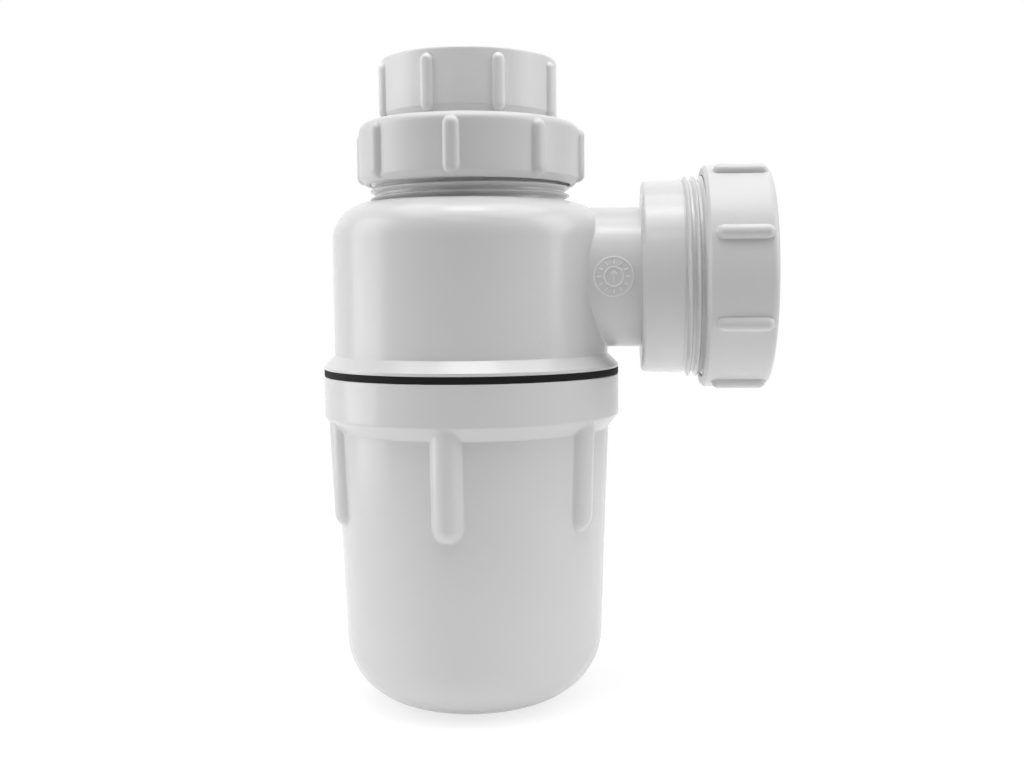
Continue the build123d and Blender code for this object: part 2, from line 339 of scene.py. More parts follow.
def face_outwards(mesh):
    """Points a mesh's faces outwards."""
    work = bmesh.new()
    work.from_mesh(mesh)
    bmesh.ops.recalc_face_normals(work, faces=work.faces)
    work.to_mesh(mesh)
    work.free()


def linked(name, mesh):
    """Object of a mesh, in the scene, with its faces pointing outwards."""
    face_outwards(mesh)
    piece = bpy.data.objects.new(name, mesh)
    bpy.context.scene.collection.objects.link(piece)
    return piece


def baked(piece):
    """Turns what the modifiers make into the piece's own plain mesh."""
    bpy.context.view_layer.update()
    result = piece.evaluated_get(bpy.context.evaluated_depsgraph_get())
    mesh = bpy.data.meshes.new_from_object(result)
    piece.modifiers.clear()
    old = piece.data
    piece.data = mesh
    bpy.data.meshes.remove(old)
    return piece


def smooth(piece, sharp_from=32):
    """Smooth shading that keeps edges sharper than an angle."""
    piece.data.shade_smooth()
    piece.data.set_sharp_from_angle(angle=math.radians(sharp_from))
    return piece


def combined(piece, tool, operation):
    """Boolean of two closed solids, kept in the first; the second is used up."""
    cut = piece.modifiers.new(operation, "BOOLEAN")
    cut.operation = operation
    cut.solver = "EXACT"
    cut.object = tool
    baked(piece)
    bpy.data.objects.remove(tool)
    return piece


def placed(piece, matrix):
    """Moves a piece's mesh, so that its object stays at the origin."""
    piece.data.transform(matrix)
    return piece


def with_tree(piece, tree, **inputs):
    """Runs a geometry tree on a piece, its inputs set by identifier, and keeps the result."""
    modifier = piece.modifiers.new(tree.name, "NODES")
    modifier.node_group = tree
    for item in tree.interface.items_tree:
        if item.item_type == "SOCKET" and item.in_out == "INPUT" and item.name in inputs:
            modifier[item.identifier] = inputs[item.name]
    return baked(piece)


def new_tree(name, *sockets):
    """Geometry tree with named inputs, given as name and kind, and one geometry output."""
    tree = bpy.data.node_groups.new(name, "GeometryNodeTree")
    for label, kind in sockets:
        tree.interface.new_socket(label, in_out="INPUT", socket_type=kind)
    tree.interface.new_socket("Geometry", in_out="OUTPUT", socket_type="NodeSocketGeometry")
    return tree, add(tree, "NodeGroupInput").outputs


def grip_rib_tree():
    """Tree that swells a turned wall into evenly spaced grip ribs with round ends.

    A rib is the wall's smooth maximum with a bar: flat-crowned or half-round by its edge
    rounding, leaning with a drafted wall, and blended at its root. Only marked points move.
    """
    length, number = "NodeSocketFloat", "NodeSocketInt"
    tree, given = new_tree(
        "grip_ribs", ("Geometry", "NodeSocketGeometry"), ("Count", number), ("First", length),
        ("Half width", length), ("Edge rounding", length), ("Crest radius", length),
        ("Lean", length), ("Foot", length), ("Top", length), ("Root blend", length),
        ("Material", "NodeSocketMaterial"))
    math_node, vector_node, steepness = "ShaderNodeMath", "ShaderNodeVectorMath", 4.0
    # Distance round the wall from the middle of the nearest rib
    place = add(tree, "GeometryNodeInputPosition").outputs[0]
    part = add(tree, "ShaderNodeSeparateXYZ", {0: place}).outputs
    flat = add(tree, vector_node, {0: place, 1: (1, 1, 0)}, operation="MULTIPLY").outputs[0]
    radius = add(tree, vector_node, {0: flat}, operation="LENGTH").outputs["Value"]
    angle = add(tree, math_node, {0: part[1], 1: part[0]}, operation="ARCTAN2").outputs[0]
    from_first = add(tree, math_node, {0: angle, 1: given["First"]},
                     operation="SUBTRACT").outputs[0]
    half_space = add(tree, math_node, {0: math.pi, 1: given["Count"]},
                     operation="DIVIDE").outputs[0]
    other_half = add(tree, math_node, {0: half_space, 1: -1.0}, operation="MULTIPLY").outputs[0]
    local = add(tree, math_node, {0: from_first, 1: half_space, 2: other_half},
                operation="WRAP").outputs[0]
    across = add(tree, math_node, {0: radius, 1: local}, operation="MULTIPLY").outputs[0]
    # Distance from the rib's centre line, which stops half a width short of its round ends
    low = add(tree, math_node, {0: given["Foot"], 1: given["Half width"]},
              operation="ADD").outputs[0]
    high = add(tree, math_node, {0: given["Top"], 1: given["Half width"]},
               operation="SUBTRACT").outputs[0]
    nearest = add(tree, "ShaderNodeClamp", {"Value": part[2], "Min": low, "Max": high}).outputs[0]
    along = add(tree, math_node, {0: part[2], 1: nearest}, operation="SUBTRACT").outputs[0]
    offset = add(tree, "ShaderNodeCombineXYZ", {0: across, 1: along}).outputs[0]
    away = add(tree, vector_node, {0: offset}, operation="LENGTH").outputs["Value"]
    # Fall of the rounded edge below the crown: a quarter circle, then a steep slope into the wall
    crown = add(tree, math_node, {0: given["Half width"], 1: given["Edge rounding"]},
                operation="SUBTRACT")
    past = add(tree, math_node, {0: away, 1: crown.outputs[0]}, operation="SUBTRACT").outputs[0]
    past = add(tree, math_node, {0: past, 1: 0.0}, operation="MAXIMUM").outputs[0]
    share = add(tree, math_node, {0: past, 1: given["Edge rounding"]},
                operation="DIVIDE").outputs[0]
    share = add(tree, math_node, {0: share, 1: 1.0}, operation="MINIMUM").outputs[0]
    square = add(tree, math_node, {0: share, 1: share}, operation="MULTIPLY").outputs[0]
    rest = add(tree, math_node, {0: 1.0, 1: square}, operation="SUBTRACT").outputs[0]
    fall = add(tree, math_node, {0: rest}, operation="SQRT").outputs[0]
    fall = add(tree, math_node, {0: 1.0, 1: fall}, operation="SUBTRACT").outputs[0]
    fall = add(tree, math_node, {0: fall, 1: given["Edge rounding"]},
               operation="MULTIPLY").outputs[0]
    over = add(tree, math_node, {0: past, 1: given["Edge rounding"]},
               operation="SUBTRACT").outputs[0]
    over = add(tree, math_node, {0: over, 1: 0.0}, operation="MAXIMUM").outputs[0]
    sink = add(tree, math_node, {0: over, 1: steepness, 2: fall},
               operation="MULTIPLY_ADD").outputs[0]
    # The bar leans in with the wall, and the further out of the two is the new surface
    below_top = add(tree, math_node, {0: given["Top"], 1: part[2]}, operation="SUBTRACT").outputs[0]
    sink = add(tree, math_node, {0: below_top, 1: given["Lean"], 2: sink},
               operation="MULTIPLY_ADD").outputs[0]
    bar = add(tree, math_node, {0: given["Crest radius"], 1: sink}, operation="SUBTRACT").outputs[0]
    swollen = add(tree, math_node, {0: radius, 1: bar, 2: given["Root blend"]},
                  operation="SMOOTH_MAX")
    growth = add(tree, math_node, {0: swollen.outputs[0], 1: radius}, operation="DIVIDE").outputs[0]
    scale = add(tree, "ShaderNodeCombineXYZ", {0: growth, 1: growth, 2: 1.0}).outputs[0]
    new_place = add(tree, vector_node, {0: place, 1: scale}, operation="MULTIPLY").outputs[0]
    mark = add(tree, "GeometryNodeInputNamedAttribute", {"Name": "ribbed"},
               data_type="FLOAT").outputs[0]
    chosen = add(tree, math_node, {0: mark, 1: 0.5}, operation="GREATER_THAN").outputs[0]
    moved = add(tree, "GeometryNodeSetPosition",
                {"Geometry": given["Geometry"], "Selection": chosen,
                 "Position": new_place}).outputs[0]
    real = add(tree, "GeometryNodeRealizeInstances", {"Geometry": moved}).outputs[0]
    done = add(tree, "GeometryNodeSetMaterial",
               {"Geometry": real, "Material": given["Material"]}).outputs[0]
    add(tree, "NodeGroupOutput", {"Geometry": done})
    return tree


def thread_tree():
    """Tree that sweeps a pipe thread's ridge along its helix, fading out at both ends."""
    length = "NodeSocketFloat"
    tree, given = new_tree(
        "thread_ridge", ("Wall radius", length), ("Depth", length), ("Pitch", length),
        ("Turns", length), ("Start height", length), ("Start angle", length),
        ("Steps a turn", "NodeSocketInt"), ("Root width", length), ("Crest width", length),
        ("Sunk", length), ("Fade turns", length), ("Material", "NodeSocketMaterial"))
    math_node = "ShaderNodeMath"
    # A line with a point for each step is bent into the helix
    line = add(tree, "GeometryNodeCurvePrimitiveLine", {"End": (0, 0, 1)}).outputs[0]
    points = add(tree, math_node, {0: given["Turns"], 1: given["Steps a turn"]},
                 operation="MULTIPLY").outputs[0]
    route = add(tree, "GeometryNodeResampleCurve", {"Curve": line, "Count": points}).outputs[0]
    factor = add(tree, "GeometryNodeSplineParameter").outputs["Factor"]
    turns = add(tree, math_node, {0: factor, 1: given["Turns"]}, operation="MULTIPLY").outputs[0]
    angle = add(tree, math_node, {0: turns, 1: TURN, 2: given["Start angle"]},
                operation="MULTIPLY_ADD").outputs[0]
    height = add(tree, math_node, {0: turns, 1: given["Pitch"], 2: given["Start height"]},
                 operation="MULTIPLY_ADD").outputs[0]
    cosine = add(tree, math_node, {0: angle}, operation="COSINE").outputs[0]
    sine = add(tree, math_node, {0: angle}, operation="SINE").outputs[0]
    x = add(tree, math_node, {0: cosine, 1: given["Wall radius"]}, operation="MULTIPLY").outputs[0]
    y = add(tree, math_node, {0: sine, 1: given["Wall radius"]}, operation="MULTIPLY").outputs[0]
    place = add(tree, "ShaderNodeCombineXYZ", {0: x, 1: y, 2: height}).outputs[0]
    helix = add(tree, "GeometryNodeSetPosition", {"Geometry": route, "Position": place}).outputs[0]
    # Its ends fade out, and the section stands upright all along
    left = add(tree, math_node, {0: given["Turns"], 1: turns}, operation="SUBTRACT").outputs[0]
    nearer = add(tree, math_node, {0: turns, 1: left}, operation="MINIMUM").outputs[0]
    fade = add(tree, "ShaderNodeMapRange",
               {"Value": nearer, "From Min": 0.0, "From Max": given["Fade turns"], "To Min": 0.15,
                "To Max": 1.0}).outputs[0]
    faded = add(tree, "GeometryNodeSetCurveRadius", {"Curve": helix, "Radius": fade}).outputs[0]
    upright = add(tree, "GeometryNodeSetCurveNormal", {"Curve": faded}).outputs[0]
    # The section: a trapezium with soft corners, its root sunk in the wall
    root = add(tree, math_node, {0: given["Root width"], 1: 0.5}, operation="MULTIPLY").outputs[0]
    crest = add(tree, math_node, {0: given["Crest width"], 1: 0.5}, operation="MULTIPLY").outputs[0]
    root_low = add(tree, math_node, {0: root, 1: -1.0}, operation="MULTIPLY").outputs[0]
    crest_low = add(tree, math_node, {0: crest, 1: -1.0}, operation="MULTIPLY").outputs[0]
    corners = [
        add(tree, "ShaderNodeCombineXYZ", {0: given["Sunk"], 1: root_low}).outputs[0],
        add(tree, "ShaderNodeCombineXYZ", {0: given["Depth"], 1: crest_low}).outputs[0],
        add(tree, "ShaderNodeCombineXYZ", {0: given["Depth"], 1: crest}).outputs[0],
        add(tree, "ShaderNodeCombineXYZ", {0: given["Sunk"], 1: root}).outputs[0],
    ]
    section = add(tree, "GeometryNodeCurvePrimitiveQuadrilateral",
                  {f"Point {i + 1}": corner for i, corner in enumerate(corners)},
                  mode="POINTS").outputs[0]
    soft = add(tree, "GeometryNodeFilletCurve", {"Curve": section, "Radius": 0.22 * MM}).outputs[0]
    ridge = add(tree, "GeometryNodeCurveToMesh", {"Curve": upright, "Profile Curve": soft,
                                                  "Fill Caps": True}).outputs[0]
    real = add(tree, "GeometryNodeRealizeInstances", {"Geometry": ridge}).outputs[0]
    done = add(tree, "GeometryNodeSetMaterial",
               {"Geometry": real, "Material": given["Material"]}).outputs[0]
    add(tree, "NodeGroupOutput", {"Geometry": done})
    return tree


def date_wheel_tree():
    """Tree that raises a mould's date wheel on a round wall: two rings, ticks and a pointer."""
    length = "NodeSocketFloat"
    tree, given = new_tree(
        "date_wheel", ("Outer radius", length), ("Inner radius", length), ("Line width", length),
        ("Relief", length), ("Ticks", "NodeSocketInt"), ("Tick length", length),
        ("Wall radius", length), ("Along", length), ("Axis height", length),
        ("Material", "NodeSocketMaterial"))
    math_node, vector_node = "ShaderNodeMath", "ShaderNodeVectorMath"
    # Rings and pointer, the pointer's strokes in shares of the inner ring, swept as fine rods
    strokes = [add(tree, "GeometryNodeCurvePrimitiveCircle",
                   {"Resolution": steps, "Radius": given[name]}).outputs[0]
               for name, steps in (("Outer radius", 96), ("Inner radius", 64))]
    tip = (0, 0.62, 0)
    for tail in ((0, -0.62, 0), (-0.3, 0.22, 0), (0.3, 0.22, 0)):
        ends = [add(tree, vector_node, {0: point, "Scale": given["Inner radius"]},
                    operation="SCALE").outputs[0] for point in (tail, tip)]
        strokes.append(add(tree, "GeometryNodeCurvePrimitiveLine",
                           {"Start": ends[0], "End": ends[1]}).outputs[0])
    half = add(tree, math_node, {0: given["Line width"], 1: 0.5}, operation="MULTIPLY").outputs[0]
    section = add(tree, "GeometryNodeCurvePrimitiveCircle",
                  {"Resolution": 10, "Radius": half}).outputs[0]
    lines = add(tree, "GeometryNodeJoinGeometry")
    for stroke in reversed(strokes):
        tree.links.new(stroke, lines.inputs[0])
    swept = add(tree, "GeometryNodeCurveToMesh",
                {"Curve": lines.outputs[0], "Profile Curve": section,
                 "Fill Caps": True}).outputs[0]
    # Ticks, halfway between the rings
    tick_end = add(tree, "ShaderNodeCombineXYZ", {0: given["Tick length"]}).outputs[0]
    tick_line = add(tree, "GeometryNodeCurvePrimitiveLine",
                    {"Start": (0, 0, 0), "End": tick_end}).outputs[0]
    tick = add(tree, "GeometryNodeCurveToMesh", {"Curve": tick_line, "Profile Curve": section,
                                                 "Fill Caps": True}).outputs[0]
    between = add(tree, math_node, {0: given["Outer radius"], 1: given["Inner radius"]},
                  operation="ADD").outputs[0]
    middle = add(tree, math_node, {0: between, 1: 0.5}, operation="MULTIPLY").outputs[0]
    from_r = add(tree, math_node, {0: given["Tick length"], 1: -0.5, 2: middle},
                 operation="MULTIPLY_ADD").outputs[0]
    stations = add(tree, "GeometryNodeMeshCircle",
                   {"Vertices": given["Ticks"], "Radius": from_r}).outputs[0]
    place = add(tree, "GeometryNodeInputPosition").outputs[0]
    facing = add(tree, "FunctionNodeAlignRotationToVector", {"Vector": place}, axis="X").outputs[0]
    ticks = add(tree, "GeometryNodeInstanceOnPoints", {"Points": stations, "Instance": tick,
                                                       "Rotation": facing}).outputs[0]
    joined = add(tree, "GeometryNodeJoinGeometry")
    tree.links.new(ticks, joined.inputs[0])
    tree.links.new(swept, joined.inputs[0])
    real = add(tree, "GeometryNodeRealizeInstances", {"Geometry": joined.outputs[0]}).outputs[0]
    # The flat dial is thinned to its relief and wrapped on the front of the round wall
    flat = add(tree, "ShaderNodeSeparateXYZ", {0: place}).outputs
    flatten = add(tree, math_node, {0: given["Relief"], 1: half}, operation="DIVIDE").outputs[0]
    radius = add(tree, math_node, {0: flat[2], 1: flatten, 2: given["Wall radius"]},
                 operation="MULTIPLY_ADD").outputs[0]
    angle = add(tree, math_node, {0: flat[1], 1: given["Wall radius"]},
                operation="DIVIDE").outputs[0]
    cosine = add(tree, math_node, {0: angle}, operation="COSINE").outputs[0]
    sine = add(tree, math_node, {0: angle}, operation="SINE").outputs[0]
    x = add(tree, math_node, {0: flat[0], 1: given["Along"]}, operation="ADD").outputs[0]
    forward = add(tree, math_node, {0: cosine, 1: radius}, operation="MULTIPLY").outputs[0]
    y = add(tree, math_node, {0: forward, 1: -1.0}, operation="MULTIPLY").outputs[0]
    z = add(tree, math_node, {0: sine, 1: radius, 2: given["Axis height"]},
            operation="MULTIPLY_ADD").outputs[0]
    wrapped = add(tree, "ShaderNodeCombineXYZ", {0: x, 1: y, 2: z}).outputs[0]
    bent = add(tree, "GeometryNodeSetPosition", {"Geometry": real, "Position": wrapped}).outputs[0]
    done = add(tree, "GeometryNodeSetMaterial",
               {"Geometry": bent, "Material": given["Material"]}).outputs[0]
    add(tree, "NodeGroupOutput", {"Geometry": done})
    return tree


GRIP_RIBS = grip_rib_tree()
THREAD_RIDGE = thread_tree()
DATE_WHEEL = date_wheel_tree()


def thread(name, wall_r, depth, pitch, low, high, phase, material, lie=None):
    """Thread ridge on a wall, outwards or, with a negative depth, inwards, between two heights.

    Ridges of one phase lie on one helix, so a nut's ridge half a pitch off runs in the groove.
    """
    sunk = -math.copysign(0.25, depth)
    root_share, crest_share = 0.84, 0.16
    ridge = linked(name, bpy.data.meshes.new(name))
    with_tree(ridge, THREAD_RIDGE, **{
        "Wall radius": wall_r * MM, "Depth": depth * MM, "Pitch": pitch * MM,
        "Turns": (high - low) / pitch, "Start height": low * MM,
        "Start angle": TURN * (low / pitch - phase), "Steps a turn": 120,
        "Root width": pitch * root_share * MM, "Crest width": pitch * crest_share * MM,
        "Sunk": sunk * MM, "Fade turns": 0.3, "Material": material})
    face_outwards(ridge.data)
    if lie:
        placed(ridge, lie)
    return smooth(ridge, 40)


def from_the_back(low, start):
    """Height at or just below one where a pipe thread of that start begins, on the far side."""
    return PIPE_PITCH * (math.floor(low / PIPE_PITCH - start - 0.25) + 0.25 + start)


def dressed(piece, body, material=None, replaces=()):
    """Gives a finished piece its material, body and the CAD nodes it stands for."""
    if material:
        piece.data.materials.clear()
        piece.data.materials.append(material)
    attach(piece, body)
    if replaces:
        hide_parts(*replaces)
    return piece


# Where the glands' own frames lie: the origin at the mouth's rim, and Z out along its axis
INLET_LIE = Matrix.Translation((0, 0, NECK_TOP * MM))
OUTLET_LIE = (Matrix.Translation((OUTLET_MOUTH * MM, 0, OUTLET_Z * MM))
              @ Matrix.Rotation(math.pi / 2, 4, "Y"))


def with_ribs(wall, material, count, first, half_width, edge_r, crest_r, foot, top, root_blend,
              lean=0.0):
    """Swells grip ribs out of a turned wall; the lean is a slope and the rest are millimetres."""
    return with_tree(wall, GRIP_RIBS, **{
        "Count": count, "First": first, "Half width": half_width * MM,
        "Edge rounding": edge_r * MM, "Crest radius": crest_r * MM, "Lean": lean,
        "Foot": foot * MM, "Top": top * MM, "Root blend": root_blend * MM, "Material": material})


def cup_wall_r(z):
    """Outside radius of the cup's drafted wall at a height."""
    return CUP_WALL_TOP_R - (CUP_WALL_TOP - z) * math.tan(CUP_DRAFT)


def make_cup():
    """White cup: flat base, large corner, drafted wall, chamfered band and half-round ribs."""
    outside = outline(
        (0, 0), (cup_wall_r(0), 0, CUP_CORNER_R, 28), (CUP_WALL_TOP_R, CUP_WALL_TOP, 1.0),
        (FLANGE_R, BAND_FOOT, 1.2), (FLANGE_R, CUP_TOP, SOFT_EDGE), (CUP_MOUTH_R, CUP_TOP))[:-1]
    # Only the part that the ribs cross needs close rows
    above_corner = next(i for i, point in enumerate(outside) if point[1] > CUP_CORNER_R - 2)
    outside = outside[:above_corner] + closely(outside[above_corner:], 0.55)
    inside = outline(
        (CUP_MOUTH_R, CUP_TOP, SOFT_EDGE), (CUP_MOUTH_R, CUP_LEDGE),
        (CUP_WALL_TOP_R - CUP_WALL, CUP_WALL_TOP, 1.0),
        (cup_wall_r(CUP_WALL) - CUP_WALL, CUP_WALL, CUP_CORNER_R - CUP_WALL, 16), (0, CUP_WALL))
    columns = ribbed_columns(CUP_RIBS, CUP_RIBS_FROM, CUP_RIB_HALF, CUP_WALL_TOP_R)
    cup = turned("bottle_cup_moulding", outside, inside[1:], columns, closed=False)
    # The ribs' tops lie inside the band, a hair under its face
    with_ribs(cup, BODY_WHITE, CUP_RIBS, CUP_RIBS_FROM, CUP_RIB_HALF, edge_r=CUP_RIB_HALF,
              crest_r=FLANGE_R - 0.05, foot=CUP_RIB_FOOT, top=BAND_FOOT + 6, root_blend=1.1,
              lean=math.tan(CUP_DRAFT))
    dressed(smooth(cup), "bottle_cup", BODY_WHITE, ["bottle_cup"])
    ridge = thread("cup_thread", CUP_MOUTH_R, -CUP_DEPTH, CUP_PITCH, low=SKIRT_FOOT + 1.2,
                   high=CUP_TOP - 1.4, phase=0.5, material=BODY_WHITE)
    dressed(ridge, "bottle_cup")


def make_ring(name, node, body, slot, material, *corners, lie=None):
    """Plain ring, such as a washer or a seal, from its section."""
    ring = turned(name, outline(*corners), [], even_columns(192))
    if lie:
        placed(ring, lie)
    return dressed(smooth(ring), body, material, [node])


def make_rings():
    """Seals, slip washers and the coupling's washer."""
    make_ring("cup_seal_ring", "cup_seal", "cup_seal", "rubber", RUBBER,
              (CUP_MOUTH_R, CUP_TOP, RING_EDGE), (FLANGE_R, CUP_TOP, RING_EDGE),
              (FLANGE_R, FLANGE_Z, RING_EDGE), (CUP_MOUTH_R, FLANGE_Z, RING_EDGE))
    nose_r, washer_gap, washer_edge = NECK_BORE_R - 0.25, 0.5, 0.15
    washer_top = SEAL_LIP + SLIP_WASHER
    for side, held_r, seal_gap, lie in (("inlet", TUBE_R, 0.1, INLET_LIE),
                                        ("outlet", PIPE_R, 0.25, OUTLET_LIE)):
        bore_r, hole_r = held_r + seal_gap, held_r + washer_gap
        make_ring(f"{side}_seal_ring", f"{side}_seal", "trap_body", "rubber", RUBBER,
                  (bore_r, -SEAL_NOSE, RING_EDGE), (nose_r - SEAL_TAPER, -SEAL_NOSE, RING_EDGE),
                  (nose_r, 0), (RING_R, 0, RING_EDGE), (RING_R, SEAL_LIP, RING_EDGE),
                  (bore_r, SEAL_LIP, RING_EDGE), lie=lie)
        make_ring(f"{side}_slip_ring", f"{side}_slip_washer", f"{side}_slip_washer", "slip_washers",
                  WASHER_WHITE, (hole_r, SEAL_LIP, washer_edge), (RING_R, SEAL_LIP, washer_edge),
                  (RING_R, washer_top, washer_edge), (hole_r, washer_top, washer_edge), lie=lie)
    seat = TUBE_TOP + SEATED
    make_ring("tail_washer", "coupling_washer", "coupling_washer", "rubber", RUBBER,
              (TUBE_BORE_R, seat, RING_EDGE), (TUBE_FLANGE_R, seat, RING_EDGE),
              (TUBE_FLANGE_R, TAIL_SEAT, RING_EDGE), (TUBE_BORE_R, TAIL_SEAT, RING_EDGE))


def make_tube():
    """Flanged inlet tube."""
    under = TUBE_TOP - TUBE_FLANGE
    section = outline(
        (TUBE_BORE_R, TUBE_FOOT, 0.4), (TUBE_R, TUBE_FOOT, 0.4), (TUBE_R, under, 0.5),
        (TUBE_FLANGE_R, under, 0.3), (TUBE_FLANGE_R, TUBE_TOP, 0.3), (TUBE_BORE_R, TUBE_TOP, 0.4))
    tube = turned("inlet_tube_moulding", section, [], even_columns(192))
    dressed(smooth(tube), "inlet_tube", TUBE_WHITE, ["inlet_tube"])


def make_gland_nut(side, lie, hole_r, foot, top, start, edge_r, bevel, ribs):
    """Large ribbed nut of a gland, with its inner thread, drawn on the axis of its mouth.

    The ribs' foot and top are measured from the nut's foot.
    """
    outside = closely(outline(
        (GLAND_BORE_R, foot), (GLAND_NUT_R - bevel, foot, SOFT_EDGE),
        (GLAND_NUT_R, foot + bevel, 0.5), (GLAND_NUT_R, top, edge_r, 10),
        (hole_r, top))[1:-1], 0.45)
    inside = outline(
        (GLAND_NUT_R, top), (hole_r, top, SOFT_EDGE), (hole_r, top - GLAND_LIP, SOFT_EDGE),
        (GLAND_BORE_R, top - GLAND_LIP, 0.3), (GLAND_BORE_R, foot, 0.4), (GLAND_NUT_R, foot))[1:-1]
    columns = ribbed_columns(NUT_RIBS, ribs["first"], ribs["half_width"], GLAND_NUT_R)
    nut = turned(f"{side}_nut_moulding", outside, inside, columns)
    with_ribs(nut, NUT_WHITE, NUT_RIBS, ribs["first"], ribs["half_width"], edge_r=2.0,
              crest_r=GLAND_NUT_R + ribs["proud"], foot=foot + ribs["foot"],
              top=foot + ribs["top"], root_blend=0.5)
    placed(nut, lie)
    dressed(smooth(nut), f"{side}_nut", NUT_WHITE, [f"{side}_nut"])
    ridge = thread(f"{side}_nut_thread", GLAND_BORE_R, -PIPE_DEPTH, PIPE_PITCH, low=foot + 1.0,
                   high=top - GLAND_LIP - 4.5, phase=start + 0.5, material=NUT_WHITE, lie=lie)
    dressed(ridge, f"{side}_nut")


def make_coupling_nut():
    """Smaller ribbed nut that takes the waste's tail, with a tall bevel at its foot."""
    bevel_width, bevel_height, crest = 1.4, 2.6, 1.4
    outside = closely(outline(
        (INLET_HOLE_R, COUPLING_FOOT), (COUPLING_R - bevel_width, COUPLING_FOOT, 0.5),
        (COUPLING_R, COUPLING_FOOT + bevel_height, 0.6), (COUPLING_R, COUPLING_TOP, 0.9),
        (COUPLING_BORE_R, COUPLING_TOP))[1:-1], 0.4)
    inside = outline(
        (COUPLING_R, COUPLING_TOP), (COUPLING_BORE_R, COUPLING_TOP, SOFT_EDGE),
        (COUPLING_BORE_R, TAIL_SEAT), (COUPLING_RELIEF_R, TAIL_SEAT),
        (COUPLING_RELIEF_R, COUPLING_FOOT + COUPLING_LIP, 0.3),
        (INLET_HOLE_R, COUPLING_FOOT + COUPLING_LIP, 0.3), (INLET_HOLE_R, COUPLING_FOOT, 0.3),
        (COUPLING_R, COUPLING_FOOT))[1:-1]
    columns = ribbed_columns(NUT_RIBS, COUPLING_RIBS_FROM, COUPLING_RIB_HALF, COUPLING_R)
    nut = turned("coupling_nut_moulding", outside, inside, columns)
    # The nut and its thread take the whiter copy of the nut white, which is painted light
    with_ribs(nut, COUPLING_PAINTED_LIGHT, NUT_RIBS, COUPLING_RIBS_FROM, COUPLING_RIB_HALF, edge_r=1.6,
              crest_r=COUPLING_R + crest, foot=COUPLING_FOOT + 1.0, top=COUPLING_FOOT + 16.7,
              root_blend=0.45)
    dressed(smooth(nut), "coupling_nut", COUPLING_PAINTED_LIGHT, ["coupling_nut"])
    ridge = thread("coupling_nut_thread", COUPLING_BORE_R, -PIPE_DEPTH, PIPE_PITCH,
                   low=TAIL_SEAT + 0.8, high=COUPLING_TOP - 1.0, phase=0.0,
                   material=COUPLING_PAINTED_LIGHT)
    dressed(ridge, "coupling_nut")


def shell_distance(point):
    """Distance from the body's outside to a point beside the stub, and the way out there."""
    x, y, z = point
    around = math.hypot(x, y)
    shoulder_foot = BODY_TOP - SHOULDER_R
    if z <= shoulder_foot:
        return around - BODY_R, Vector((x / around, y / around, 0))
    out = Vector((around - (BODY_R - SHOULDER_R), z - shoulder_foot))
    way = Vector((x / around * out.x, y / around * out.x, out.y)).normalized()
    return out.length - SHOULDER_R, way


def stub_root(angle, steps=6):
    """Points of the small blend between the body and the stub, in the plane of one angle.

    The blend is part of a ball that touches the stub; halving finds where it touches the shell.
    """
    out = Vector((0, math.cos(angle), math.sin(angle)))
    near, far = 20.0, SOCKET_X
    for _ in range(40):
        middle = (near + far) / 2
        centre = Vector((0, 0, OUTLET_Z)) + out * (STUB_R + STUB_BLEND) + Vector((middle, 0, 0))
        if shell_distance(centre)[0] < STUB_BLEND:
            near = middle
        else:
            far = middle
    body_out = shell_distance(centre)[1]
    sweep = body_out.angle(out)
    arc = []
    for step in range(steps + 1):
        part = step / steps
        turn = body_out * math.sin((1 - part) * sweep) + out * math.sin(part * sweep)
        arc.append(centre - turn / math.sin(sweep) * STUB_BLEND)
    # The root goes on just under the shell's face and then straight in, where the union hides it
    inner_end, under_face, run_in = 15.0, 0.03, 0.6
    sunk = arc[0] - body_out * under_face
    return [Vector((inner_end, sunk.y, sunk.z)), sunk - Vector((run_in, 0, 0)), sunk] + arc


def make_arm_solid():
    """Stub and socket as a closed solid whose root flares onto the body."""
    stub_to_mouth = outline(
        (STUB_R, SOCKET_X - 2), (STUB_R, SOCKET_X, 0.3),
        (SOCKET_R - SOCKET_DRAFT, SOCKET_X, SOCKET_EDGE_R, 8),
        (SOCKET_R + SOCKET_DRAFT, OUTLET_THREAD_X, 0.3), (NECK_ROOT_R, OUTLET_THREAD_X),
        (NECK_ROOT_R, OUTLET_MOUTH, MOUTH_EDGE), (NECK_BORE_R - 1, OUTLET_MOUTH))
    columns = []
    for angle in even_columns(224):
        out = Vector((0, math.cos(angle), math.sin(angle)))
        columns.append(stub_root(angle)
                       + [Vector((x, 0, OUTLET_Z)) + out * r for r, x in stub_to_mouth])
    count, rows = len(columns), len(columns[0])
    faces = []
    for i in range(count):
        j = (i + 1) % count
        for k in range(rows - 1):
            faces.append((i * rows + k, j * rows + k, j * rows + k + 1, i * rows + k + 1))
    faces.append([i * rows for i in range(count)])
    faces.append([i * rows + rows - 1 for i in range(count)])
    mesh = bpy.data.meshes.new("arm")
    mesh.from_pydata([tuple(point * MM) for column in columns for point in column], [], faces)
    return linked("arm", mesh)


